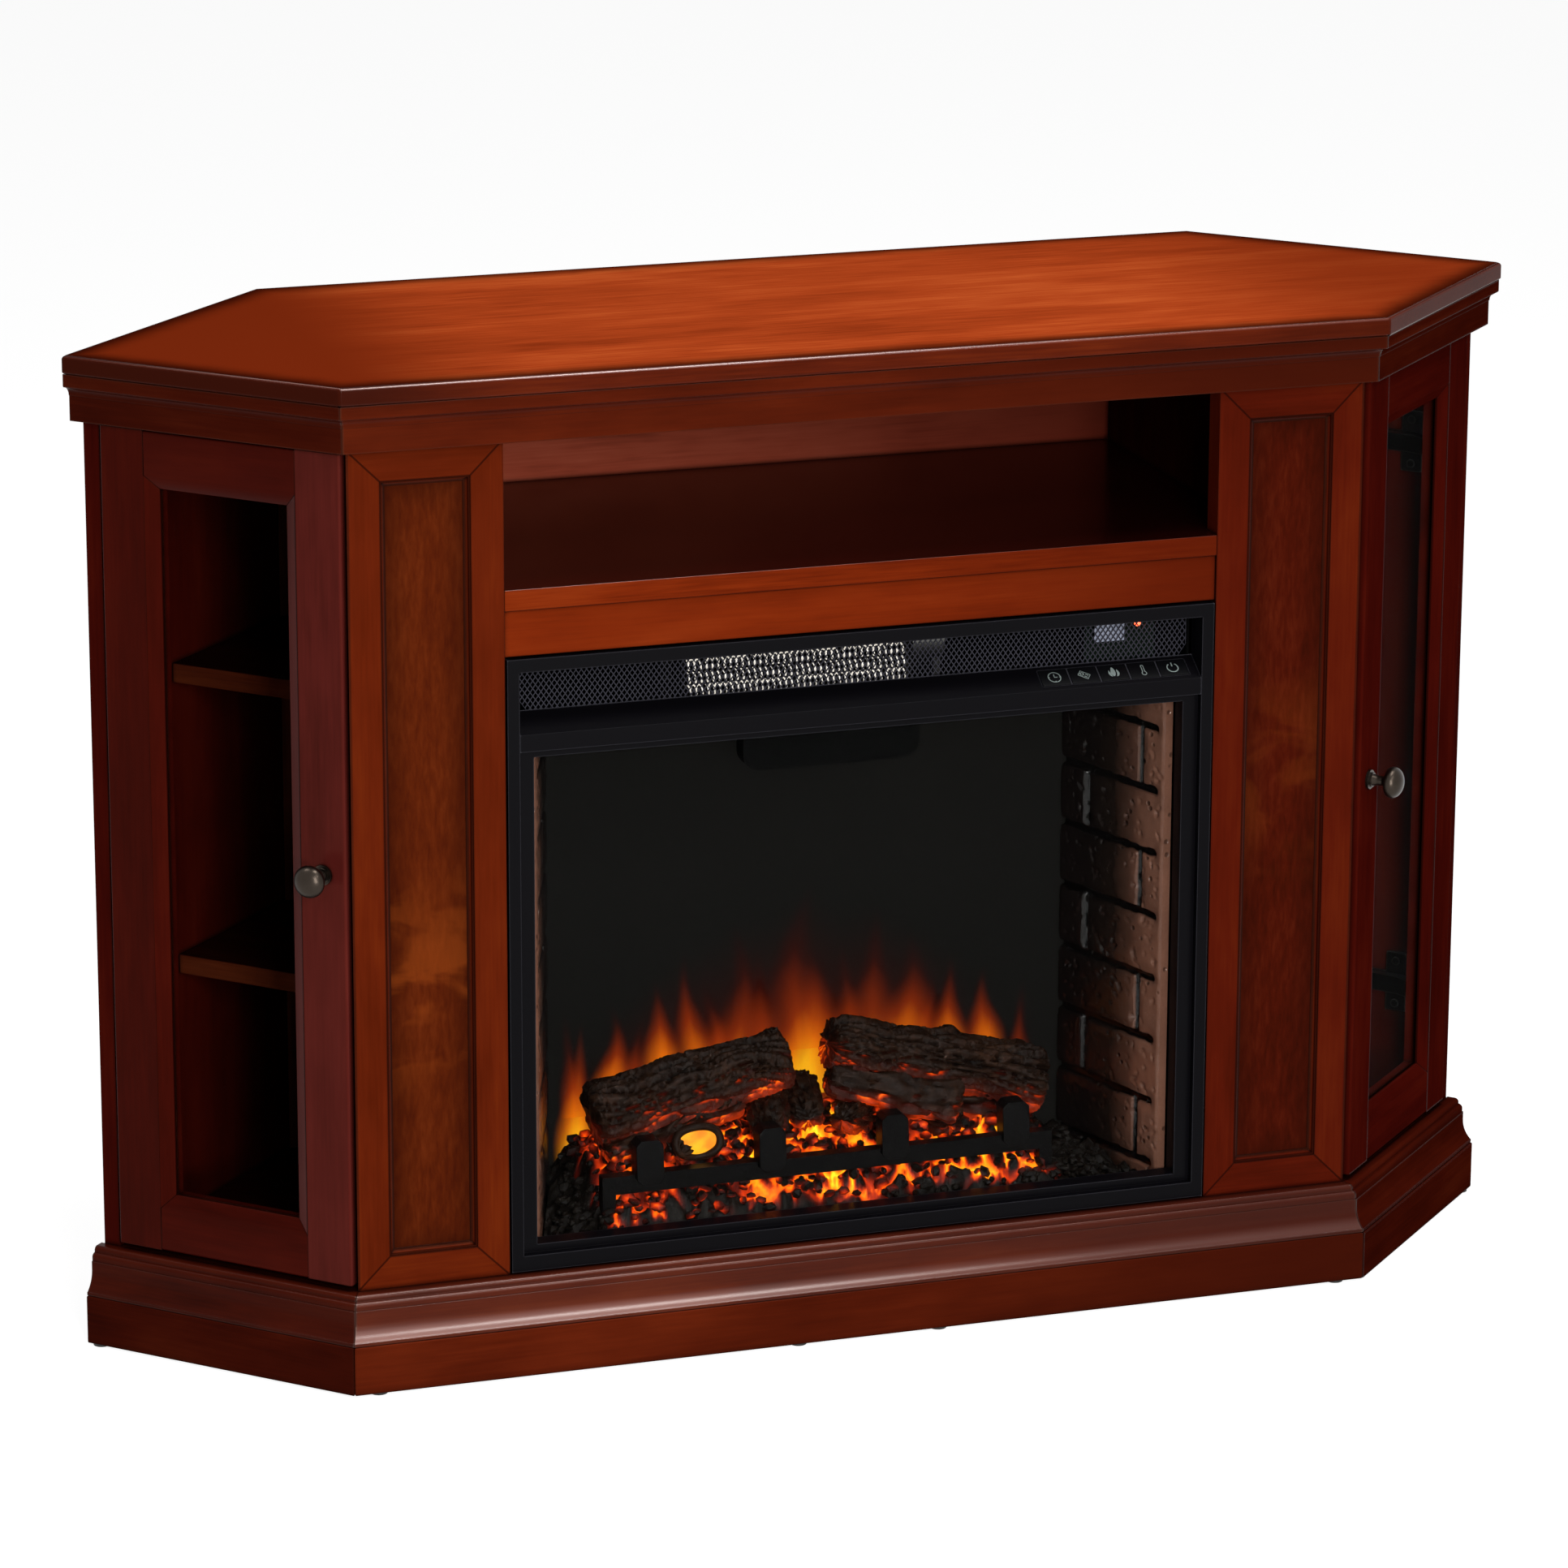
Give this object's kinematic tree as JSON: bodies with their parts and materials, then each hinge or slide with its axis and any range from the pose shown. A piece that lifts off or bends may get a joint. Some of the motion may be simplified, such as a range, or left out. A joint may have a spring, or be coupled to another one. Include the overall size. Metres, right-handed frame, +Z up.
{
  "type": "corner fireplace",
  "caption": "Six-sided corner media cabinet in stained wood with an electric log hearth insert, a heater grille with touch keys, an open bay and glazed doors.",
  "frame": {"origin": "on the floor under the middle of the outline", "axes": "+X to the right seen from the room, +Y towards the wall corner, +Z up"},
  "size_m": [1.2192, 0.38, 0.819],
  "materials": {
    "top_wood": "satin lacquer",
    "case_wood": "satin lacquer",
    "moulding_wood": "satin lacquer",
    "door_wood": "satin lacquer",
    "panel_veneer": "satin lacquer",
    "back_board": "matt",
    "door_glass": "clear",
    "hearth_glass": "clear",
    "pewter": "aged",
    "steel": "zinc plated",
    "black_steel": "satin",
    "glide_plastic": "matt",
    "brick": "moulded",
    "screen": "matt",
    "embers": "moulded, lit from below",
    "bark": "moulded",
    "heating_wire": "bare",
    "wheel_metal": "plain",
    "motor_metal": "plain",
    "lamp_board": "matt",
    "circuit_board": "matt",
    "key_plastic": "gloss",
    "bush_rubber": "matt"
  },
  "bodies": {
    "cabinet": {"top_slab": "top_wood", "sub_top": "case_wood", "top_moulding": "moulding_wood", "header_rails": "case_wood", "deck": "case_wood", "plinth": "moulding_wood", "base_moulding": "moulding_wood", "base_cleats": "back_board", "left_divider": "case_wood", "right_divider": "case_wood", "left_pilaster_frame": "case_wood", "right_pilaster_frame": "case_wood", "left_pilaster_panel": "panel_veneer", "right_pilaster_panel": "panel_veneer", "media_shelf": "case_wood", "media_rail": "case_wood", "media_back": "back_board", "lower_backs": "back_board", "left_side_board": "case_wood", "right_side_board": "case_wood", "side_shelves": "case_wood", "shelf_pins": "steel", "glides": "glide_plastic", "hinge_arms": "steel", "insert_frame": "black_steel", "insert_casing": "black_steel", "front_glass": "hearth_glass", "left_brick_panel": "brick", "right_brick_panel": "brick", "flame_screen": "screen", "ember_bed": "embers", "log_set": "bark", "grate": "black_steel", "heater_grille": "black_steel", "heater_element": "heating_wire", "blower_housing": "steel", "blower_motor": "motor_metal", "rotor_motor": "motor_metal", "ember_lamps": "lamp_board", "control_board": "circuit_board", "cord_inlet": "bush_rubber"},
    "left_door": {"left_door_stiles": "door_wood", "left_door_rails": "door_wood", "left_door_glass": "door_glass", "left_glass_stops": "door_wood", "left_knob": "pewter", "left_hinge_cups": "steel"},
    "right_door": {"right_door_stiles": "door_wood", "right_door_rails": "door_wood", "right_door_glass": "door_glass", "right_glass_stops": "door_wood", "right_knob": "pewter", "right_hinge_cups": "steel"},
    "blower": {"blower_wheel": "wheel_metal"},
    "flame_drive": {"flame_rotor": "steel"},
    "timer_key_body": {"timer_key": "key_plastic"},
    "ember_key_body": {"ember_key": "key_plastic"},
    "flame_key_body": {"flame_key": "key_plastic"},
    "heat_key_body": {"heat_key": "key_plastic"},
    "power_key_body": {"power_key": "key_plastic"}
  },
  "joints": [
    {"name": "left_door_hinge", "type": "hinge", "parent": "cabinet", "child": "left_door", "pos_m": [-0.58082, -0.01219, 0.42475], "axis": [0, 0, -1], "range_deg": [0, 105]},
    {"name": "right_door_hinge", "type": "hinge", "parent": "cabinet", "child": "right_door", "pos_m": [0.58082, -0.01219, 0.42475], "axis": [0, 0, 1], "range_deg": [0, 105]},
    {"name": "blower_spin", "type": "hinge", "parent": "cabinet", "child": "blower", "pos_m": [-0.045, -0.0495, 0.549], "axis": [1, 0, 0], "continuous": true},
    {"name": "flame_spin", "type": "hinge", "parent": "cabinet", "child": "flame_drive", "pos_m": [0, 0.012, 0.142], "axis": [1, 0, 0], "continuous": true},
    {"name": "timer_key_press", "type": "slide", "parent": "cabinet", "child": "timer_key_body", "axis": [0, 0.5199, -0.8542], "range_m": [0, 0.001], "stiffness_N_per_m": 400, "springref_m": -0.0005},
    {"name": "ember_key_press", "type": "slide", "parent": "cabinet", "child": "ember_key_body", "axis": [0, 0.5199, -0.8542], "range_m": [0, 0.001], "stiffness_N_per_m": 400, "springref_m": -0.0005},
    {"name": "flame_key_press", "type": "slide", "parent": "cabinet", "child": "flame_key_body", "axis": [0, 0.5199, -0.8542], "range_m": [0, 0.001], "stiffness_N_per_m": 400, "springref_m": -0.0005},
    {"name": "heat_key_press", "type": "slide", "parent": "cabinet", "child": "heat_key_body", "axis": [0, 0.5199, -0.8542], "range_m": [0, 0.001], "stiffness_N_per_m": 400, "springref_m": -0.0005},
    {"name": "power_key_press", "type": "slide", "parent": "cabinet", "child": "power_key_body", "axis": [0, 0.5199, -0.8542], "range_m": [0, 0.001], "stiffness_N_per_m": 400, "springref_m": -0.0005}
  ]
}
